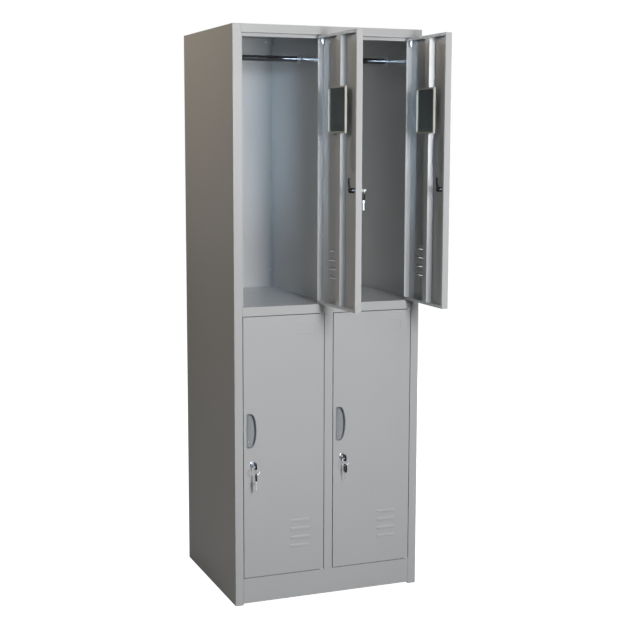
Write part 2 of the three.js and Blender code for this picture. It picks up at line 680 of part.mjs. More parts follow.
function door(prefix, column, opening) {
  const doorHeight = opening.top - opening.bottom - 2 * DOOR_GAP;
  const fromTop = (drop) => doorHeight + DOOR_GAP - drop;
  const lockX = HINGE_EDGE - LOCK.fromHinge;
  const lockZ = fromTop(LOCK.drop);
  const group = new THREE.Group();
  group.add(
    piece(`${prefix}_door_panel`, doorPanel(doorHeight), 'paint'),
    piece(`${prefix}_door_stiffener`, stiffener(doorHeight), 'paint'),
    placed(piece(`${prefix}_handle_cup`, handleCup(), 'cup'), 0, fromTop(HANDLE.drop)),
    placed(piece(`${prefix}_lock_housing`, lockHousing(), 'zinc'), lockX, lockZ),
    placed(piece(`${prefix}_lock_cam`, lockCam(), 'cam'), lockX, lockZ),
    piece(`${prefix}_top_hinge_pin`, hingePin(doorHeight, 1), 'zinc'),
    piece(`${prefix}_bottom_hinge_pin`, hingePin(doorHeight, -1), 'zinc'),
  );
  if (KEYS[prefix]) {
    const { inLock, spare, drop } = KEYS[prefix];
    const { holeY } = LOCK_KEYS[inLock];
    const finish = inLock === 'metal' ? 'keyMetal' : 'keyHead';
    group.add(
      placed(piece(`${prefix}_key`, lockKey(LOCK_KEYS[inLock]), finish), lockX, lockZ),
      placed(piece(`${prefix}_spare_key`, spareKey(spare, holeY, drop), 'keyHead'), lockX, lockZ),
    );
  }
  if (opening === UPPER_OPENING) {
    const mirrorX = HINGE_EDGE - STIFFENER.fromHinge;
    const mirrorZ = fromTop(MIRROR.drop);
    group.add(
      placed(piece(`${prefix}_mirror_frame`, mirrorFrame(), 'mirrorFrame'), mirrorX, mirrorZ),
      placed(piece(`${prefix}_mirror_glass`, mirrorGlass(), 'mirror'), mirrorX, mirrorZ),
    );
  }
  group.position.set(COLUMNS[column].pivotX, PIVOT_Y, opening.bottom + DOOR_GAP);
  group.rotation.z = THREE.MathUtils.degToRad(REST_ANGLES[prefix]);
  return group;
}

// ---------------------------------------------------------------- assembly

const locker = new THREE.Group();
locker.add(carcass());
for (const [tier, opening] of Object.entries(OPENINGS)) {
  for (const column of Object.keys(COLUMNS)) {
    const prefix = `${tier}_${column}`;
    locker.add(hangingRod(prefix, column, opening), door(prefix, column, opening));
  }
}

export default locker;
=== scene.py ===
"""Four-door steel locker cabinet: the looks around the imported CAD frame, in metres."""

import json
import math

import bmesh
import bpy
from mathutils import Matrix, Vector


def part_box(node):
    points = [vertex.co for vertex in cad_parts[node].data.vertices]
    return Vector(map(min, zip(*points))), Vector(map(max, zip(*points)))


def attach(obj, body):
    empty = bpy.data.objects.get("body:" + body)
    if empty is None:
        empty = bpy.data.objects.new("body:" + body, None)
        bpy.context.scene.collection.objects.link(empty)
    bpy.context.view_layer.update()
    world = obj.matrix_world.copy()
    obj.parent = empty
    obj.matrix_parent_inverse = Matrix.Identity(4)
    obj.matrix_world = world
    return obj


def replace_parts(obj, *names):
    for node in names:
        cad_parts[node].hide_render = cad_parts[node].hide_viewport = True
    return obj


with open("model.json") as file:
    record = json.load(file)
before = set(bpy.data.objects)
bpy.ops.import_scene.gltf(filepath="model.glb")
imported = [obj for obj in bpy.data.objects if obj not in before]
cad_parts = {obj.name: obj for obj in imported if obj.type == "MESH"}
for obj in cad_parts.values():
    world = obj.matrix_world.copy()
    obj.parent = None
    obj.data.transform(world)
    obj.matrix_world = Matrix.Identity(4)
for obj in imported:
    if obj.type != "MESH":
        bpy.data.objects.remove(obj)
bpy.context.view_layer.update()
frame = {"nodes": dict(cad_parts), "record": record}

MM = 0.001
DOORS = ("upper_left", "upper_right", "lower_left", "lower_right")
KEYED_DOORS = ("upper_left", "lower_left", "lower_right")
UPPER_DOORS = DOORS[:2]
LOWER_DOORS = DOORS[2:]
JOINTS = {joint["name"]: joint for joint in frame["record"]["behaviour"]["joints"]}

# ---------------------------------------------------------------- places taken from the frame


def door_matrix(prefix):
    """The closed door's own space, from its pivot at the bottom edge: x to the hinge edge, y inwards."""
    joint = JOINTS[f"{prefix}_door_hinge"]
    pivot = joint["pos_m"]
    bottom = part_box(f"{prefix}_door_panel")[0].z
    opened = math.radians(-joint["range_deg"][0])
    return Matrix.Translation((pivot[0], pivot[1], bottom)) @ Matrix.Rotation(opened, 4, "Z")


def local_box(prefix, node):
    """The lowest and highest corner of a node on that door, in the door's own space."""
    turn = door_matrix(prefix).inverted()
    points = [turn @ v.co for v in frame["nodes"][node].data.vertices]
    low = Vector([min(p[i] for p in points) for i in range(3)])
    high = Vector([max(p[i] for p in points) for i in range(3)])
    return low, high


def joint_place(prefix, name):
    """A joint's centre in the door's own space."""
    return door_matrix(prefix).inverted() @ Vector(JOINTS[f"{prefix}_{name}"]["pos_m"])


# ---------------------------------------------------------------- materials


class Nodes:
    """A short way to write a node material."""

    def __init__(self, name):
        self.material = bpy.data.materials.new(name)
        self.material.use_nodes = True
        self.tree = self.material.node_tree
        self.tree.nodes.clear()
        self.output = self.tree.nodes.new("ShaderNodeOutputMaterial")
        self.shader = self.tree.nodes.new("ShaderNodeBsdfPrincipled")
        self.link(self.shader.outputs["BSDF"], self.output.inputs["Surface"])
        self.place = self.tree.nodes.new("ShaderNodeTexCoord").outputs["Object"]

    def link(self, a, b):
        self.tree.links.new(a, b)

    def set(self, **values):
        for key, value in values.items():
            self.shader.inputs[key.replace("_", " ").title()].default_value = value

    def stretched(self, scale):
        node = self.tree.nodes.new("ShaderNodeMapping")
        node.inputs["Scale"].default_value = scale
        self.link(self.place, node.inputs["Vector"])
        return node.outputs["Vector"]

    def noise(self, scale, detail=2.0, roughness=0.5, place=None):
        node = self.tree.nodes.new("ShaderNodeTexNoise")
        node.inputs["Scale"].default_value = scale
        node.inputs["Detail"].default_value = detail
        node.inputs["Roughness"].default_value = roughness
        self.link(place or self.place, node.inputs["Vector"])
        return node.outputs["Fac"]

    def spread(self, value, low, high, to_low=0.0, to_high=1.0):
        node = self.tree.nodes.new("ShaderNodeMapRange")
        for key, number in zip(("From Min", "From Max", "To Min", "To Max"), (low, high, to_low, to_high)):
            node.inputs[key].default_value = number
        self.link(value, node.inputs["Value"])
        return node.outputs["Result"]

    def times(self, a, b):
        node = self.tree.nodes.new("ShaderNodeMath")
        node.operation = "MULTIPLY"
        for slot, value in zip(node.inputs, (a, b)):
            if isinstance(value, float):
                slot.default_value = value
            else:
                self.link(value, slot)
        return node.outputs["Value"]

    def mix(self, factor, a, b):
        node = self.tree.nodes.new("ShaderNodeMix")
        node.data_type = "RGBA"
        self.link(factor, node.inputs["Factor"])
        for slot, value in ((node.inputs["A"], a), (node.inputs["B"], b)):
            if isinstance(value, tuple):
                slot.default_value = (*value, 1.0)
            else:
                self.link(value, slot)
        return node.outputs["Result"]

    def edges(self, reach):
        """Where the surface turns within that reach, from 0 on flat faces to 1 on an edge."""
        geometry = self.tree.nodes.new("ShaderNodeNewGeometry")
        rounded = self.tree.nodes.new("ShaderNodeBevel")
        rounded.samples = 4
        rounded.inputs["Radius"].default_value = reach
        along = self.tree.nodes.new("ShaderNodeVectorMath")
        along.operation = "DOT_PRODUCT"
        self.link(geometry.outputs["Normal"], along.inputs[0])
        self.link(rounded.outputs["Normal"], along.inputs[1])
        return self.spread(along.outputs["Value"], 0.995, 0.9)

    def color(self, value):
        self.link(value, self.shader.inputs["Base Color"])

    def roughness(self, value):
        self.link(value, self.shader.inputs["Roughness"])

    def bump(self, *layers):
        """Each layer is (height, distance in metres, strength)."""
        normal = None
        for height, distance, strength in layers:
            node = self.tree.nodes.new("ShaderNodeBump")
            node.inputs["Distance"].default_value = distance
            node.inputs["Strength"].default_value = strength
            self.link(height, node.inputs["Height"])
            if normal is not None:
                self.link(normal, node.inputs["Normal"])
            normal = node.outputs["Normal"]
        self.link(normal, self.shader.inputs["Normal"])


def painted_steel():
    """Light grey powder coat: fine orange peel, a faint waviness of the sheet, and rubbed edges."""
    n = Nodes("painted_steel")
    grey, shade, rubbed = (0.505, 0.509, 0.505), (0.498, 0.502, 0.499), (0.55, 0.555, 0.55)
    cloudy = n.spread(n.noise(3.0, 2.0, 0.5), 0.3, 0.7)
    rubbing = n.times(n.edges(0.0012), n.spread(n.noise(30.0, 3.0), 0.4, 0.65))
    n.color(n.mix(rubbing, n.mix(cloudy, shade, grey), rubbed))
    n.roughness(n.spread(n.noise(6.0, 2.0, 0.5), 0.3, 0.7, 0.2, 0.23))
    peel = n.noise(420.0, 2.0, 0.5)
    wave = n.noise(2.2, 0.0, 0.4)
    n.bump((wave, 0.0004, 0.04), (peel, 0.00002, 0.12))
    return n.material


def zinc_hardware():
    n = Nodes("zinc_hardware")
    brushed = n.noise(260.0, 4.0, 0.6, n.stretched((1.0, 1.0, 0.12)))
    n.color(n.mix(n.spread(brushed, 0.3, 0.7), (0.52, 0.53, 0.55), (0.68, 0.69, 0.7)))
    n.roughness(n.spread(brushed, 0.3, 0.7, 0.2, 0.36))
    n.bump((brushed, 0.00005, 0.4))
    n.set(metallic=1.0)
    return n.material


def chrome_tube():
    """Drawn chrome tube that mirrors the compartment, its base colour set well below real chrome's as
    painted shade so that it reads dark.
    """
    n = Nodes("chrome_tube")
    drawn = n.noise(300.0, 3.0, 0.5, n.stretched((0.02, 1.0, 1.0)))
    n.color(n.mix(n.spread(drawn, 0.3, 0.7), (0.3, 0.31, 0.33), (0.4, 0.41, 0.43)))
    n.roughness(n.spread(drawn, 0.3, 0.7, 0.06, 0.13))
    n.bump((drawn, 0.00002, 0.3))
    n.set(metallic=1.0)
    return n.material


def rod_socket():
    n = Nodes("rod_socket")
    grain = n.noise(700.0, 3.0, 0.6)
    n.color(n.mix(n.spread(grain, 0.3, 0.7), (0.6, 0.62, 0.64), (0.7, 0.72, 0.74)))
    n.roughness(n.spread(grain, 0.3, 0.7, 0.28, 0.42))
    n.bump((grain, 0.00004, 0.3))
    n.set(metallic=0.5)
    return n.material


def moulded(name, dark, light, rough, grain_scale=1400.0):
    """Moulded plastic with an eroded-steel grain."""
    n = Nodes(name)
    grain = n.noise(grain_scale, 2.0, 0.6)
    cloudy = n.noise(30.0, 3.0, 0.6)
    n.color(n.mix(n.spread(cloudy, 0.35, 0.65), dark, light))
    n.roughness(n.spread(grain, 0.3, 0.7, rough - 0.05, rough + 0.07))
    n.bump((grain, 0.00006, 0.35))
    return n


def handle_cup():
    # The cup's grey is set darker than the door's paint: painted shade for the hollow of the finger pull.
    return moulded("handle_cup", (0.31, 0.32, 0.325), (0.34, 0.35, 0.355), 0.45).material


def key_head():
    return moulded("key_head", (0.010, 0.010, 0.011), (0.018, 0.018, 0.02), 0.38).material


def key_metal():
    """Nickel plate with the scratches that keys collect."""
    n = Nodes("key_metal")
    scratched = n.noise(420.0, 4.0, 0.6, n.stretched((1.0, 0.15, 1.0)))
    n.color(n.mix(n.spread(scratched, 0.3, 0.7), (0.8, 0.8, 0.79), (0.9, 0.9, 0.89)))
    n.roughness(n.spread(scratched, 0.3, 0.7, 0.26, 0.42))
    n.bump((scratched, 0.00003, 0.3))
    n.set(metallic=0.6)
    return n.material


def mirror_frame():
    return moulded("mirror_frame", (0.47, 0.46, 0.41), (0.52, 0.5, 0.45), 0.45).material


def nylon():
    return moulded("nylon", (0.74, 0.74, 0.71), (0.8, 0.8, 0.77), 0.4).material


def cam_steel():
    n = Nodes("cam_steel")
    scale = n.noise(500.0, 4.0, 0.6)
    worn = n.times(n.edges(0.0005), n.spread(n.noise(90.0, 2.0), 0.4, 0.6))
    black = n.mix(n.spread(scale, 0.3, 0.7), (0.02, 0.02, 0.022), (0.045, 0.045, 0.048))
    n.color(n.mix(worn, black, (0.3, 0.3, 0.31)))
    n.roughness(n.spread(scale, 0.3, 0.7, 0.28, 0.45))
    n.bump((scale, 0.00004, 0.4))
    n.set(metallic=0.9)
    return n.material


def mirror_glass():
    n = Nodes("mirror_glass")
    smear = n.noise(14.0, 5.0, 0.7)
    # The base colour is far below a real mirror's: painted shade that keeps its reflection dim.
    n.color(n.mix(n.spread(smear, 0.3, 0.7), (0.28, 0.32, 0.31), (0.32, 0.36, 0.35)))
    n.roughness(n.spread(smear, 0.5, 0.8, 0.015, 0.06))
    n.bump((n.noise(3.0, 1.0), 0.0004, 0.1))
    n.set(metallic=1.0)
    return n.material


MATERIALS = {
    make.__name__: make()
    for make in (
        painted_steel,
        zinc_hardware,
        chrome_tube,
        rod_socket,
        handle_cup,
        key_head,
        key_metal,
        cam_steel,
        mirror_frame,
        mirror_glass,
        nylon,
    )
}

# ---------------------------------------------------------------- mesh helpers

SMOOTH_ANGLE = math.radians(35)
MERGE = 1e-6


def show(name, mesh, slot, body, matrix=None, bevel=0.0, material=None):
    """A new piece of the object that rides on a body and takes its finish from a slot."""
    if matrix is not None:
        mesh.transform(matrix)
    obj = bpy.data.objects.new(name, mesh)
    bpy.context.scene.collection.objects.link(obj)
    mesh.materials.clear()
    mesh.materials.append(MATERIALS[material or slot])
    finish_edges(obj, bevel)
    bpy.context.view_layer.update()
    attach(obj, body)
    return obj


def finish_edges(obj, bevel, flat=False):
    """Rounds the sharp edges, and shades the round faces smoothly and a folded sheet's faces flat."""
    for polygon in obj.data.polygons:
        polygon.use_smooth = not flat
    if not flat:
        obj.data.set_sharp_from_angle(angle=SMOOTH_ANGLE)
    if bevel:
        rounding = obj.modifiers.new("bevel", "BEVEL")
        rounding.width = bevel
        rounding.segments = 2
        rounding.limit_method = "ANGLE"
        rounding.angle_limit = SMOOTH_ANGLE
        rounding.harden_normals = not flat


def mesh_from(build):
    """A mesh made by a function that fills a bmesh."""
    work = bmesh.new()
    build(work)
    bmesh.ops.remove_doubles(work, verts=work.verts, dist=MERGE)
    bmesh.ops.recalc_face_normals(work, faces=work.faces)
    mesh = bpy.data.meshes.new("piece")
    work.to_mesh(mesh)
    work.free()
    return mesh


def turned(profile, segments=48):
    """A closed profile of (radius, height) turned about the Z axis."""

    def build(work):
        rings = []
        for radius, height in profile:
            if radius < MERGE:
                rings.append([work.verts.new((0, 0, height))] * segments)
                continue
            ring = []
            for i in range(segments):
                turn = 2 * math.pi * i / segments
                ring.append(work.verts.new((radius * math.cos(turn), radius * math.sin(turn), height)))
            rings.append(ring)
        for lower, upper in zip(rings, rings[1:] + rings[:1]):
            for i in range(segments):
                j = (i + 1) % segments
                corners = [lower[i], lower[j], upper[j], upper[i]]
                distinct = list(dict.fromkeys(corners))
                if len(distinct) > 2:
                    work.faces.new(distinct)

    return mesh_from(build)


def arc(centre, radius, start, end, steps=8):
    """Points along an arc, with angles in degrees."""
    angles = [math.radians(start + (end - start) * i / steps) for i in range(steps + 1)]
    return [(centre[0] + radius * math.cos(a), centre[1] + radius * math.sin(a)) for a in angles]


def rounded_rectangle(left, right, bottom, top, radius, steps=6):
    return (
        arc((right - radius, bottom + radius), radius, -90, 0, steps)
        + arc((right - radius, top - radius), radius, 0, 90, steps)
        + arc((left + radius, top - radius), radius, 90, 180, steps)
        + arc((left + radius, bottom + radius), radius, 180, 270, steps)
    )


def plate(outline, thickness, holes=(), edge=0.0):
    """A flat plate in the XY plane, centred on z = 0, with holes and rounded edges."""
    curve = bpy.data.curves.new("outline", "CURVE")
    curve.dimensions = "2D"
    curve.fill_mode = "BOTH"
    curve.extrude = thickness / 2 - edge
    curve.bevel_depth = edge
    curve.bevel_resolution = 2
    curve.offset = -edge
    for points in (outline, *holes):
        spline = curve.splines.new("POLY")
        spline.points.add(len(points) - 1)
        for point, (x, y) in zip(spline.points, points):
            point.co = (x, y, 0, 1)
        spline.use_cyclic_u = True
    obj = bpy.data.objects.new("outline", curve)
    bpy.context.scene.collection.objects.link(obj)
    made = bpy.data.meshes.new_from_object(obj.evaluated_get(bpy.context.evaluated_depsgraph_get()))
    bpy.data.objects.remove(obj)
    work = bmesh.new()
    work.from_mesh(made)
    bmesh.ops.remove_doubles(work, verts=work.verts, dist=MERGE)
    bmesh.ops.recalc_face_normals(work, faces=work.faces)
    work.to_mesh(made)
    work.free()
    return made


def tube(points, radius, closed=False, segments=12):
    """A round wire along the points."""

    def build(work):
        count = len(points)
        rings = []
        previous = None
        for i, point in enumerate(points):
            before = points[i - 1] if closed or i else points[i]
            after = points[(i + 1) % count] if closed or i < count - 1 else points[i]
            along = (after - before).normalized()
            side = previous - along * previous.dot(along) if previous else along.orthogonal()
            side.normalize()
            previous = side
            up = along.cross(side)
            ring = []
            for k in range(segments):
                turn = 2 * math.pi * k / segments
                offset = side * math.cos(turn) + up * math.sin(turn)
                ring.append(work.verts.new(point + offset * radius))
            rings.append(ring)
        pairs = list(zip(rings, rings[1:] + rings[:1])) if closed else list(zip(rings, rings[1:]))
        for lower, upper in pairs:
            for k in range(segments):
                j = (k + 1) % segments
                work.faces.new([lower[k], lower[j], upper[j], upper[k]])
        if not closed:
            work.faces.new(rings[0])
            work.faces.new(rings[-1])

    return mesh_from(build)


def joined(*meshes):
    work = bmesh.new()
    for mesh in meshes:
        work.from_mesh(mesh)
    made = bpy.data.meshes.new("piece")
    work.to_mesh(made)
    work.free()
    return made


def moved(mesh, matrix):
    mesh.transform(matrix)
    return mesh


# Turns a plate drawn in (x, y) so that it stands in (x, z) or in (y, z) of a door.
STAND_XZ = Matrix.Rotation(math.radians(90), 4, "X")
STAND_YZ = Matrix(((0, 0, 1, 0), (1, 0, 0, 0), (0, 1, 0, 0), (0, 0, 0, 1)))

# ---------------------------------------------------------------- the CAD nodes that stay

FOLD_ROUNDING = 0.42 * MM


def carried_over():
    """Every CAD node takes its slot's material and softly rounded edges."""
    slots = {part["node"]: part["material_slot"] for part in frame["record"]["subparts"]}
    for name, node in frame["nodes"].items():
        node.data.materials.clear()
        node.data.materials.append(MATERIALS[slots[name]])
        weld = node.modifiers.new("weld", "WELD")
        weld.merge_threshold = 0.005 * MM
        if "custom_normal" in node.data.attributes:
            node.data.attributes.remove(node.data.attributes["custom_normal"])
        finish_edges(node, FOLD_ROUNDING, flat=slots[name] == "painted_steel")


carried_over()

# ---------------------------------------------------------------- coat rods

ROD_WALL = 1 * MM
SOCKET_DISC = 2.2 * MM  # the flange's thickness
SOCKET_SHOULDER = 2.5 * MM  # how far the flange reaches beyond the cup
SOCKET_WALL = 2.2 * MM


def coat_rods():
    for prefix in DOORS:
        name = f"{prefix}_coat_rod"
        low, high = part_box(name)
        centre = (low + high) / 2
        radius = (high.z - low.z) / 2
        bore = radius - ROD_WALL
        half = (high.x - low.x) / 2
        profile = [(bore, -half), (radius, -half), (radius, half), (bore, half)]
        along_x = Matrix.Translation(centre) @ Matrix.Rotation(math.radians(90), 4, "Y")
        piece = show(f"{prefix}_rod_tube", turned(profile, 64), "chrome_tube", "carcass", along_x)
        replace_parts(piece, name)


def rod_sockets():
    """Each is a round cup on a flange against the wall, with a rolled lip round the rod."""
    flange_edge, fillet, lip = 0.8 * MM, 1.2 * MM, SOCKET_WALL / 2
    for prefix in DOORS:
        for end in ("outer", "inner"):
            name = f"{prefix}_{end}_rod_socket"
            low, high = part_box(name)
            centre = (low + high) / 2
            flange = (high.z - low.z) / 2
            length = high.x - low.x
            cup = flange - SOCKET_SHOULDER
            profile = (
                [(cup - SOCKET_WALL, 0), (flange - 0.6 * MM, 0)]
                + arc((flange - flange_edge, SOCKET_DISC - flange_edge), flange_edge, 0, 90, 4)
                + arc((cup + fillet, SOCKET_DISC + fillet), fillet, 270, 180, 4)
                + arc((cup - lip, length - lip), lip, 0, 180, 8)
            )
            faces_left = (end == "outer") != prefix.endswith("left")
            wall = high.x if faces_left else low.x
            turn = Matrix.Rotation(math.radians(-90 if faces_left else 90), 4, "Y")
            place = Matrix.Translation((wall, centre.y, centre.z)) @ turn
            piece = show(f"{prefix}_{end}_rod_cup", turned(profile, 48), "rod_socket", "carcass", place)
            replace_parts(piece, name)


coat_rods()
rod_sockets()

# ---------------------------------------------------------------- locks

COLLAR_PROUD = 2.5 * MM  # how far the lock's collar stands out of the door's face
COLLAR_RADIUS = 10 * MM
BARREL_RADIUS = 8 * MM
LOCK_BORE = 5.8 * MM
LOCK_SKIN = 1.3 * MM  # the door's skin and the gap behind it
THREAD_TURNS = 12
THREAD_DEPTH = 0.45 * MM
LOCK_NUT_RADIUS = 11 * MM
LOCK_NUT_THICKNESS = 4 * MM

PLUG_RADIUS = 5.4 * MM
PLUG_SHOULDER = 4 * MM  # where the bright plug ends and its dark stem starts
CAM_FRONT = 25 * MM  # behind the door's face, below the step
CAM_THICKNESS = 2 * MM
CAM_STEP = (10 * MM, 18 * MM)  # the heights between which it bends
CAM_TIP_WIDTH = 0.82  # of the width below the step
CAM_NUT_RADIUS = 5.6 * MM
CAM_NUT_THICKNESS = 2.4 * MM

ALONG_Y = Matrix.Rotation(math.radians(-90), 4, "X")


def circle(radius, centre=(0.0, 0.0), steps=32):
    return arc(centre, radius, 0, 360 - 360 / steps, steps - 1)


def hexagon(radius):
    return circle(radius, steps=6)


def at_lock(prefix):
    """Space with its origin on the lock's axis, at the door's outer face."""
    lock = joint_place(prefix, "lock_turn")
    face = local_box(prefix, f"{prefix}_lock_housing")[0].y + COLLAR_PROUD
    return door_matrix(prefix) @ Matrix.Translation((lock.x, face, lock.z))


def collar_profile():
    """A domed ring that stands on the door's face, with a rounded mouth."""
    front = -COLLAR_PROUD
    dome, mouth = 1.5 * MM, 0.5 * MM
    seat = -0.3 * MM
    return (
        [(LOCK_BORE, front + mouth)]
        + arc((LOCK_BORE + mouth, front + mouth), mouth, 180, 270, 3)
        + arc((COLLAR_RADIUS - dome, front + dome), dome, 270, 360, 5)
        + [(COLLAR_RADIUS, seat), (BARREL_RADIUS, seat), (BARREL_RADIUS, 0), (LOCK_BORE, 0)]
    )


def thread_profile(back):
    profile = [(LOCK_BORE, 0), (BARREL_RADIUS, 0), (BARREL_RADIUS, LOCK_SKIN)]
    pitch = (back - LOCK_SKIN) / THREAD_TURNS
    for i in range(THREAD_TURNS):
        profile.append((BARREL_RADIUS - THREAD_DEPTH, LOCK_SKIN + (i + 0.5) * pitch))
        profile.append((BARREL_RADIUS, LOCK_SKIN + (i + 1) * pitch))
    profile.append((LOCK_BORE, back))
    return profile


def lock_housings():
    """A domed bright collar outside, and behind the door a dark threaded barrel with its nut."""
    for prefix in DOORS:
        node = f"{prefix}_lock_housing"
        low, high = local_box(prefix, node)
        collar = turned(collar_profile())
        barrel = turned(thread_profile(high.y - low.y - COLLAR_PROUD))
        hole = circle(BARREL_RADIUS - 0.2 * MM)
        nut = plate(hexagon(LOCK_NUT_RADIUS), LOCK_NUT_THICKNESS, [hole], 0.5 * MM)
        moved(nut, Matrix.Translation((0, 0, LOCK_SKIN + LOCK_NUT_THICKNESS / 2)))
        body = f"{prefix}_door"
        place = at_lock(prefix) @ ALONG_Y
        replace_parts(show(f"{prefix}_lock_collar", collar, "zinc_hardware", body, place), node)
        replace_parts(show(f"{prefix}_lock_barrel", barrel, "cam_steel", body, place), node)
        show(f"{prefix}_lock_nut", nut, "cam_steel", body, place)


def bent_bar(rows, thickness):
    """A strip up the z axis. Each row is (height, half width, front y)."""

    def build(work):
        rings = []
        for height, half, front in rows:
            corners = [(-half, front), (half, front), (half, front + thickness), (-half, front + thickness)]
            rings.append([work.verts.new((x, y, height)) for x, y in corners])
        for lower, upper in zip(rings, rings[1:]):
            for k in range(4):
                j = (k + 1) % 4
                work.faces.new([lower[k], lower[j], upper[j], upper[k]])
        work.faces.new(rings[0])
        work.faces.new(rings[-1])

    return mesh_from(build)


def cam_rows(heel, tip, half, back):
    """The cam from its round heel, over the step and on to its narrower round tip."""
    rise = back - CAM_FRONT
    quarter = [math.radians(90 * i / 6) for i in range(7)]
    bottom, top = CAM_STEP
    bend = 1 * MM
    rows = []
    for a in quarter:
        width = half * max(math.sin(a), 0.35)
        rows.append((heel + half * 0.6 * (1 - math.cos(a)), width, CAM_FRONT))
    rows += [(bottom, half, CAM_FRONT), (bottom + bend, half * 0.98, CAM_FRONT + 0.05 * rise)]
    rows += [(top - bend, half * 0.84, CAM_FRONT + 0.95 * rise), (top, half * CAM_TIP_WIDTH, back)]
    for a in quarter:
        width = half * max(CAM_TIP_WIDTH * math.cos(a), 0.2)
        rows.append((tip - half * 0.8 * (1 - math.sin(a)), width, back))
    return rows


def cams():
    """The plug that the key turns, the stepped cam on its inner end, and the nut that holds it."""
    slot = rounded_rectangle(-1.3 * MM, 1.3 * MM, -3.8 * MM, 3.8 * MM, 0.6 * MM, 3)
    for prefix in DOORS:
        node = f"{prefix}_lock_cam"
        body = f"{prefix}_lock"
        place = at_lock(prefix)
        to_lock = place.inverted() @ door_matrix(prefix)
        low, high = (to_lock @ corner for corner in local_box(prefix, node))
        cam_back = high.y - CAM_THICKNESS
        spans = (
            ("plug", "zinc_hardware", low.y, PLUG_SHOULDER),
            ("stem", "cam_steel", PLUG_SHOULDER, cam_back),
        )
        for part, finish, start, end in spans:
            mesh = plate(circle(PLUG_RADIUS, steps=48), end - start, [slot], 0.45 * MM)
            part_place = place @ Matrix.Translation((0, (start + end) / 2, 0)) @ STAND_XZ
            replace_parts(show(f"{prefix}_lock_{part}", mesh, finish, body, part_place), node)
        bar = bent_bar(cam_rows(low.z, high.z, (high.x - low.x) / 2, cam_back), CAM_THICKNESS)
        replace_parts(show(f"{prefix}_cam_bar", bar, "cam_steel", body, place, 0.25 * MM), node)
        nut = plate(hexagon(CAM_NUT_RADIUS), CAM_NUT_THICKNESS, [circle(3 * MM)], 0.3 * MM)
        nut_middle = CAM_FRONT + CAM_THICKNESS + CAM_NUT_THICKNESS / 2
        nut_place = place @ Matrix.Translation((0, nut_middle, 0)) @ STAND_XZ
        show(f"{prefix}_cam_nut", nut, "cam_steel", body, nut_place)


lock_housings()
cams()

# ---------------------------------------------------------------- keys

METAL_BOW_LENGTH = 19 * MM
METAL_BOW_HOLE = 2.2 * MM
MOULDED_LENGTH = 21 * MM
MOULDED_CORNER = 7 * MM
MOULDED_HOLE = 3.5 * MM
NECK_HALF = 4.6 * MM
BLADE_HALF = 3.5 * MM
BLADE_THICKNESS = 2 * MM
BLADE_ROOT = 3 * MM  # how far the blade runs into the head
PIN_CUTS = (0.9, 0.25, 0.7, 0.1, 0.55, 0.8)  # mm

# The hanging keys: the head's half width and height, its hole's radius and the hole's drop from the top.
TUBULAR_HEAD = (6 * MM, 24 * MM, 2.2 * MM, 3.8 * MM)
FLAT_HEAD = (11 * MM, 26 * MM, 2.6 * MM, 4 * MM)
KEY_COLLAR_LENGTH = 8 * MM
KEY_COLLAR_RADIUS = 5.6 * MM
KEY_TUBE_RADIUS = 3.3 * MM
KEY_TUBE_BORE = 2 * MM

RING_WIRE = 0.6 * MM
RING_TURNS = 2
RING_PITCH = 0.65 * MM


def key_place(prefix):
    """Space with its origin where the key's hole and the ring meet."""
    return door_matrix(prefix) @ Matrix.Translation(joint_place(prefix, "hanging_key_swing"))


def key_box(prefix, node):
    """The lowest and highest corner of a key, in the space of key_place."""
    to_key = key_place(prefix).inverted() @ door_matrix(prefix)
    return [to_key @ corner for corner in local_box(prefix, node)]


def hanging_head(prefix):
    return TUBULAR_HEAD if prefix.endswith("left") else FLAT_HEAD


def shrunk(outline, by):
    """The outline drawn in by that much towards its middle."""
    u0, u1 = min(p[0] for p in outline), max(p[0] for p in outline)
    v0, v1 = min(p[1] for p in outline), max(p[1] for p in outline)
    u, v = (u0 + u1) / 2, (v0 + v1) / 2
    fu, fv = 1 - 2 * by / (u1 - u0), 1 - 2 * by / (v1 - v0)
    return [(u + (p[0] - u) * fu, v + (p[1] - v) * fv) for p in outline]


def moulded_head(outline, hole):
    """A flat head, 4 mm thick round its rim and 3 mm inside it."""
    web = plate(outline, 3 * MM, [hole], 0.4 * MM)
    rim = plate(outline, 4 * MM, [shrunk(outline, 2.2 * MM)], 0.6 * MM)
    return joined(web, rim)


def milled_blade(start, end, half, thickness):
    """A flat blade along the first axis with pin cuts on both edges and a pointed tip."""
    point = 2.5 * MM
    shoulder, first, last = 4 * MM, 6 * MM, 1 * MM
    run = end - point - start - first - last
    upper = [(start, half), (start + shoulder, half)]
    for i, cut in enumerate(PIN_CUTS):
        upper.append((start + first + run * i / (len(PIN_CUTS) - 1), half - cut * MM))
    upper.append((end, half - point))
    lower = [(u, -v) for u, v in reversed(upper)]
    return plate(upper + lower, thickness, edge=0.15 * MM)


def metal_key(low, high):
    """A narrow nickel bow and its blade, in one piece."""
    neck = low.y + METAL_BOW_LENGTH
    outline = rounded_rectangle(low.y, neck, -high.z, high.z, 3 * MM)
    bow = plate(outline, 2 * MM, [circle(METAL_BOW_HOLE)], 0.3 * MM)
    return joined(bow, milled_blade(neck - 1 * MM, high.y, high.z, 1.8 * MM))


def moulded_outline(end, neck, half):
    """A head with round corners that draws in to its neck."""
    corner = MOULDED_CORNER
    return (
        [(neck, NECK_HALF)]
        + arc((neck - corner, half - corner), corner, 20, 90, 6)
        + arc((end + corner, half - corner), corner, 90, 180, 6)
        + arc((end + corner, corner - half), corner, 180, 270, 6)
        + arc((neck - corner, corner - half), corner, 270, 340, 6)
        + [(neck, -NECK_HALF)]
    )


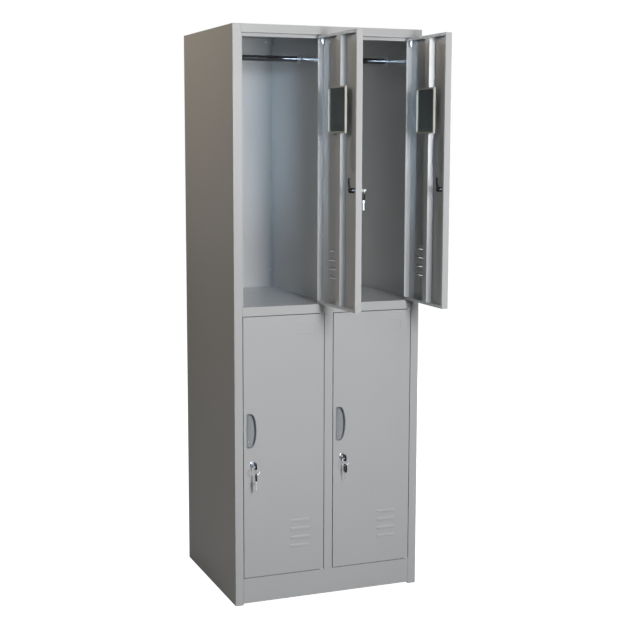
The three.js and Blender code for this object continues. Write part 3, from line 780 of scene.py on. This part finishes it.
def keys():
    """The keys in the locks: black moulded heads with a raised rim, or a small nickel bow."""
    for prefix in KEYED_DOORS:
        node = f"{prefix}_key"
        body = f"{prefix}_lock"
        low, high = key_box(prefix, node)
        place = key_place(prefix) @ STAND_YZ
        if prefix == "upper_left":
            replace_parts(show(f"{prefix}_key_metal", metal_key(low, high), "key_metal", body, place), node)
            continue
        neck = low.y + MOULDED_LENGTH
        head = moulded_head(moulded_outline(low.y, neck, high.z), circle(MOULDED_HOLE))
        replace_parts(show(f"{prefix}_key_head", head, "key_head", body, place), node)
        blade = milled_blade(neck - BLADE_ROOT, high.y, BLADE_HALF, BLADE_THICKNESS)
        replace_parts(show(f"{prefix}_key_blade", blade, "key_metal", body, place), node)


def tubular_head(top, bottom):
    """A narrow head with a raised grip below its hole."""
    half, _, hole, hole_drop = TUBULAR_HEAD
    outline = rounded_rectangle(-half, half, bottom, top, 5 * MM)
    web = plate(outline, 3.4 * MM, [circle(hole, (0.0, top - hole_drop))], 0.8 * MM)
    grip = rounded_rectangle(-4 * MM, 4 * MM, bottom + 2 * MM, top - 8 * MM, 2.5 * MM)
    return joined(web, plate(grip, 4 * MM, (), 0.3 * MM))


def key_tube(tip, bottom):
    """The nickel tube of a tubular key, with the collar that joins it to the head."""
    length = bottom - tip
    collar_end = length - KEY_COLLAR_LENGTH
    bevel, tip_bevel = 0.4 * MM, 0.3 * MM
    collar, shank, bore = KEY_COLLAR_RADIUS, KEY_TUBE_RADIUS, KEY_TUBE_BORE
    profile = (
        [(bore, 0.5 * MM), (bore + bevel, 0), (shank - tip_bevel, 0), (shank, bevel)]
        + [(shank, collar_end - 0.6 * MM), (shank + 0.6 * MM, collar_end), (collar - bevel, collar_end)]
        + [(collar, collar_end + bevel), (collar, length - bevel)]
        + [(collar - bevel, length), (bore, length)]
    )
    return moved(turned(profile, 40), Matrix.Translation((0, 0, tip)))


def spare_keys():
    """The hanging keys: tubular ones with a nickel collar in the left column, a flat one in the right."""
    for prefix in KEYED_DOORS:
        node = f"{prefix}_spare_key"
        body = f"{prefix}_hanging_key"
        low, high = key_box(prefix, node)
        place = key_place(prefix)
        half, height, hole, hole_drop = hanging_head(prefix)
        top, bottom = high.z, high.z - height
        if prefix.endswith("left"):
            head = tubular_head(top, bottom)
            shank = key_tube(low.z, bottom)
            metal = show(f"{prefix}_hanging_tube", shank, "key_metal", body, place)
        else:
            outline = rounded_rectangle(-half, half, bottom, top, MOULDED_CORNER)
            head = moulded_head(outline, circle(hole, (0.0, top - hole_drop)))
            downwards = Matrix.Rotation(math.radians(-90), 4, "Z")
            blade = milled_blade(-bottom - BLADE_ROOT, -low.z, BLADE_HALF, BLADE_THICKNESS)
            shank = moved(blade, downwards)
            metal = show(f"{prefix}_hanging_blade", shank, "key_metal", body, place @ STAND_YZ)
        head = show(f"{prefix}_hanging_head", head, "key_head", body, place @ STAND_YZ)
        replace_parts(head, node)
        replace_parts(metal, node)


def split_rings():
    """Two turns of wire through both keys' holes."""
    steps = 96
    for prefix in KEYED_DOORS:
        hole = key_box(prefix, f"{prefix}_spare_key")[1].z - hanging_head(prefix)[3]
        radius = -hole / 2
        points = []
        for i in range(steps + 1):
            turn = 2 * math.pi * RING_TURNS * i / steps
            lift = (2 * i / steps - 1) * RING_PITCH
            points.append(Vector((radius * math.cos(turn), lift, -radius + radius * math.sin(turn))))
        ring = tube(points, RING_WIRE)
        show(f"{prefix}_key_ring", ring, "key_metal", f"{prefix}_hanging_key", key_place(prefix))


keys()
spare_keys()
split_rings()

# ---------------------------------------------------------------- fixings

BUSH_BORE = 3.1 * MM
BUSH_RADIUS = 6.2 * MM
BUSH_THICKNESS = 2.2 * MM
PIN_RADIUS = 3 * MM
COIL_RADIUS = 4.1 * MM
COIL_TURNS = 7
# The hook's middle line from the pin, in mm: it leaves the pin's foot and turns up beside it.
HOOK = (
    (0, 0, -24),
    (-3, 3, -24),
    (-9, 7, -24),
    (-12, 9, -23),
    (-13, 10, -20),
    (-13, 10, -14),
    (-13, 9, -11),
)


def screw_head(radius, height):
    """A pan head, standing on z = 0."""
    shoulder = height * 0.35
    dome = radius * 0.65
    profile = [(0, 0), (radius, 0), (radius, shoulder)]
    profile += arc((radius - dome, shoulder), dome, 0, 75, 5)[1:]
    profile.append((0, shoulder + radius * 0.66))
    return turned(profile, 24)


def carcass_screws():
    """Screws through the roof's rear flange, and down the partition's rear flange, into the back panel."""
    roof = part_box("roof_panel")
    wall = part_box("centre_partition")
    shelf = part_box("left_mid_shelf")[1].z
    flange_front = roof[1].y - 3.6 * MM
    strip_front = wall[1].y - 1 * MM
    strip_x = -8 * MM
    from_edge = 24 * MM
    reach = roof[1].x - from_edge
    height = roof[1].z - 13 * MM
    near_end, mid_way = 60 * MM, 420 * MM
    upper = (shelf + near_end, shelf + mid_way, roof[1].z - near_end)
    lower = (wall[0].z + near_end, wall[0].z + mid_way)
    places = [(x, flange_front, height) for x in (-reach, -from_edge, from_edge, reach)]
    places += [(strip_x, strip_front, z) for z in upper + lower]
    for i, place in enumerate(places):
        matrix = Matrix.Translation(place) @ Matrix.Rotation(math.radians(90), 4, "X")
        show(f"carcass_screw_{i}", screw_head(3.4 * MM, 2.4 * MM), "zinc_hardware", "carcass", matrix)


def hinge_bushes():
    """A nylon washer on each hinge pin, in the gap between the door and the frame."""
    edge = 0.5 * MM
    profile = (
        [(BUSH_BORE, 0), (BUSH_RADIUS, 0)]
        + arc((BUSH_RADIUS - edge, BUSH_THICKNESS - edge), edge, 0, 90, 4)
        + [(BUSH_BORE, BUSH_THICKNESS)]
    )
    over = Matrix.Rotation(math.pi, 4, "X")
    for prefix in DOORS:
        pivot = JOINTS[f"{prefix}_door_hinge"]["pos_m"]
        low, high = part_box(f"{prefix}_door_panel")
        for name, z, turn in (("top", high.z, Matrix()), ("bottom", low.z, over)):
            place = Matrix.Translation((pivot[0], pivot[1], z)) @ turn
            bush = turned(profile, 32)
            body = f"{prefix}_door"
            show(f"{prefix}_{name}_bush", bush, "mirror_frame", body, place, material="nylon")


def hinge_levers():
    """The hooked nickel lever that draws each door's top pin, inside the door's corner."""
    foot, head = -27 * MM, -3.4 * MM
    bevel = 0.4 * MM
    steps = 120
    for prefix in DOORS:
        top = Matrix.Translation((0, 0, panel_height(prefix)))
        pin = [(0, foot), (PIN_RADIUS - bevel, foot), (PIN_RADIUS, foot + bevel)]
        pin += [(PIN_RADIUS, head), (0, head)]
        coil = []
        for i in range(steps + 1):
            turn = 2 * math.pi * COIL_TURNS * i / steps
            height = (-17 + 13 * i / steps) * MM
            coil.append(Vector((COIL_RADIUS * math.cos(turn), COIL_RADIUS * math.sin(turn), height)))
        spring = tube(coil, 0.55 * MM, segments=8)
        hook = tube([Vector(point) * MM for point in HOOK], 1.4 * MM)
        lever = joined(turned(pin, 24), spring, hook)
        show(f"{prefix}_hinge_lever", lever, "key_metal", f"{prefix}_door", door_matrix(prefix) @ top)


def panel_height(prefix):
    low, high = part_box(f"{prefix}_door_panel")
    return high.z - low.z


def centred_rectangle(size, radius):
    return rounded_rectangle(-size.x / 2, size.x / 2, -size.z / 2, size.z / 2, radius)


def lower_mirrors():
    """The lower doors carry the same mirror as the upper ones, at the same drop from the top."""
    for prefix, twin in zip(LOWER_DOORS, UPPER_DOORS):
        shift = Matrix.Translation((0, 0, panel_height(prefix) - panel_height(twin)))
        frame_box = local_box(twin, f"{twin}_mirror_frame")
        glass_box = local_box(twin, f"{twin}_mirror_glass")
        frame_size, glass_size = (high - low for low, high in (frame_box, glass_box))
        mouth = centred_rectangle(glass_size, 1 * MM)
        rim = plate(centred_rectangle(frame_size, 2.5 * MM), frame_size.y, [mouth], 0.8 * MM)
        glass = plate(centred_rectangle(glass_size, 0.5 * MM), glass_size.y, (), 0.2 * MM)
        for part, mesh, box in (("mirror_frame", rim, frame_box), ("mirror_glass", glass, glass_box)):
            middle = Matrix.Translation((box[0] + box[1]) / 2)
            place = door_matrix(prefix) @ shift @ middle @ STAND_XZ
            show(f"{prefix}_{part}", mesh, part, f"{prefix}_door", place)


def handle_rivets():
    """The small rivet low in each finger pull, by its straight side."""
    from_corner = Vector((10, 7.6, 20)) * MM
    stand = Matrix.Rotation(math.radians(90), 4, "X")
    for prefix in DOORS:
        corner = local_box(prefix, f"{prefix}_handle_cup")[0]
        place = door_matrix(prefix) @ Matrix.Translation(corner + from_corner) @ stand
        rivet = screw_head(2.6 * MM, 1.6 * MM)
        show(f"{prefix}_handle_rivet", rivet, "zinc_hardware", f"{prefix}_door", place)


carcass_screws()
hinge_bushes()
hinge_levers()
lower_mirrors()
handle_rivets()

# ---------------------------------------------------------------- stage, light and camera

FLOOR_REACH = 14.0
CAMERA_PLACE = (-1.5652, -4.3558, 1.496)
CAMERA_YAW, CAMERA_PITCH, CAMERA_ROLL = 21.517, -7.598, 0.123
CAMERA_LENS = 74.386


def studio():
    """A plain pale floor and surround. Only the camera sees them that bright: they light little."""
    floor = bpy.data.meshes.new("floor")
    r = FLOOR_REACH
    floor.from_pydata([(-r, -r, 0), (r, -r, 0), (r, r, 0), (-r, r, 0)], [], [(0, 1, 2, 3)])
    obj = bpy.data.objects.new("floor", floor)
    bpy.context.scene.collection.objects.link(obj)
    n = Nodes("floor")
    seen = n.tree.nodes.new("ShaderNodeLightPath").outputs["Is Camera Ray"]
    n.color(n.mix(seen, (0.22, 0.22, 0.22), (0.5, 0.5, 0.5)))
    n.set(roughness=0.9, emission_color=(1.0, 1.0, 1.0, 1.0))
    n.link(seen, n.shader.inputs["Emission Strength"])
    obj.data.materials.append(n.material)

    world = bpy.data.worlds.new("studio")
    bpy.context.scene.world = world
    world.use_nodes = True
    tree = world.node_tree
    tree.nodes.clear()
    out = tree.nodes.new("ShaderNodeOutputWorld")
    seen = tree.nodes.new("ShaderNodeBackground")
    seen.inputs["Color"].default_value = (1.0, 1.0, 1.0, 1.0)
    seen.inputs["Strength"].default_value = 1.0
    fill = tree.nodes.new("ShaderNodeBackground")
    fill.inputs["Color"].default_value = (0.82, 0.9, 1.0, 1.0)
    fill.inputs["Strength"].default_value = 0.07
    ray = tree.nodes.new("ShaderNodeLightPath")
    either = tree.nodes.new("ShaderNodeMixShader")
    tree.links.new(ray.outputs["Is Camera Ray"], either.inputs[0])
    tree.links.new(fill.outputs[0], either.inputs[1])
    tree.links.new(seen.outputs[0], either.inputs[2])
    tree.links.new(either.outputs[0], out.inputs["Surface"])


def softbox(name, place, target, width, height, power, color=(1.0, 1.0, 1.0)):
    data = bpy.data.lights.new(name, "AREA")
    data.shape = "RECTANGLE"
    data.size = width
    data.size_y = height
    data.energy = power
    data.color = color
    obj = bpy.data.objects.new(name, data)
    bpy.context.scene.collection.objects.link(obj)
    obj.location = place
    obj.rotation_mode = "QUATERNION"
    obj.rotation_quaternion = (Vector(target) - Vector(place)).to_track_quat("-Z", "Y")
    return obj


def lights():
    """Softboxes all round. The card is seen only in reflections, and brightens the open compartment."""
    softbox("key", (0.0, -3.5, 1.75), (0.0, -0.5, 1.1), 0.5, 1.0, 74.0, (0.98, 0.98, 1.0))
    softbox("top", (0.1, -2.2, 3.3), (0.0, -0.5, 1.5), 1.4, 0.8, 6.0, (1.0, 0.97, 0.92))
    softbox("left", (-3.0, -1.6, 2.6), (-0.3, -0.3, 1.3), 1.4, 1.4, 19.0, (1.0, 0.93, 0.85))
    softbox("side", (-1.3, 0.2, 2.4), (-0.32, -0.26, 1.7), 0.8, 0.8, 7.0, (1.0, 0.8, 0.58))
    card = softbox("card", (-1.8, -4.4, 1.7), (-0.2, 0.0, 1.5), 0.9, 1.5, 300.0, (0.64, 0.82, 1.0))
    card.visible_diffuse = False
    softbox("back", (2.6, 3.0, 2.6), (0.0, 0.0, 1.0), 1.4, 1.4, 60.0)


def camera():
    yaw, pitch, roll = (math.radians(v) for v in (CAMERA_YAW, CAMERA_PITCH, CAMERA_ROLL))
    data = bpy.data.cameras.new("camera")
    data.sensor_width = 36.0
    data.lens = CAMERA_LENS
    obj = bpy.data.objects.new("camera", data)
    bpy.context.scene.collection.objects.link(obj)
    turn = Matrix.Rotation(-yaw, 4, "Z") @ Matrix.Rotation(math.radians(90) + pitch, 4, "X")
    obj.matrix_world = Matrix.Translation(CAMERA_PLACE) @ turn @ Matrix.Rotation(roll, 4, "Z")
    bpy.context.scene.camera = obj


studio()
lights()
camera()
bpy.context.scene.view_settings.view_transform = "Standard"
